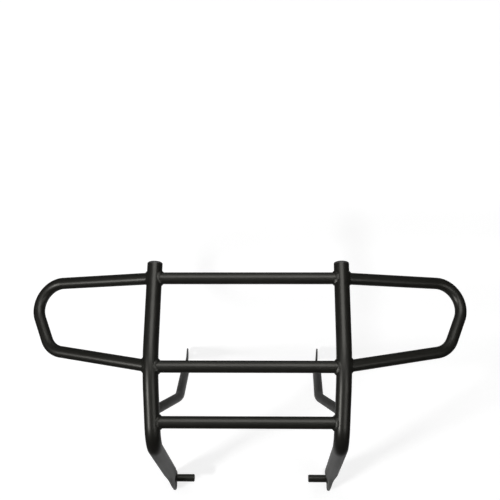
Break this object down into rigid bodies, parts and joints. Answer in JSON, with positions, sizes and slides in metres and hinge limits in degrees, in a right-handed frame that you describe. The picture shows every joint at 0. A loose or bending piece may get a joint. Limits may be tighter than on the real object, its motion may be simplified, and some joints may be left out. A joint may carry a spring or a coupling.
{
  "type": "front grille guard",
  "caption": "Welded round tube front guard with crossbars between bent uprights, swept side loops, inward foot pins and rear braces with bolt tabs.",
  "frame": {"origin": "middle of the footprint, at the surface it rests on, under the middle of its bounding box", "axes": "the guard lies face up on its foot ends and brace tabs: +X across the guard, +Y toward its top end, +Z out of its front face, which points ahead of the vehicle once fitted"},
  "size_m": [0.9438, 0.4836, 0.4896],
  "materials": {
    "coated_tube": "satin black powder coat",
    "coated_weld": "satin black powder coat over a weld bead",
    "end_cap": "matte black plastic"
  },
  "bodies": {
    "root": {"upright_left": "coated_tube", "upright_right": "coated_tube", "crossbar_top": "coated_tube", "crossbar_middle": "coated_tube", "crossbar_bottom": "coated_tube", "side_loop_left": "coated_tube", "side_loop_right": "coated_tube", "rear_brace_left": "coated_tube", "rear_brace_right": "coated_tube", "foot_pin_left": "coated_tube", "foot_pin_right": "coated_tube", "top_cap_left": "end_cap", "top_cap_right": "end_cap", "weld_top_bar_left": "coated_weld", "weld_top_bar_right": "coated_weld", "weld_middle_bar_left": "coated_weld", "weld_middle_bar_right": "coated_weld", "weld_bottom_bar_left": "coated_weld", "weld_bottom_bar_right": "coated_weld", "weld_loop_upper_left": "coated_weld", "weld_loop_upper_right": "coated_weld", "weld_loop_lower_left": "coated_weld", "weld_loop_lower_right": "coated_weld", "weld_brace_left": "coated_weld", "weld_brace_right": "coated_weld", "weld_pin_left": "coated_weld", "weld_pin_right": "coated_weld"}
  },
  "joints": []
}
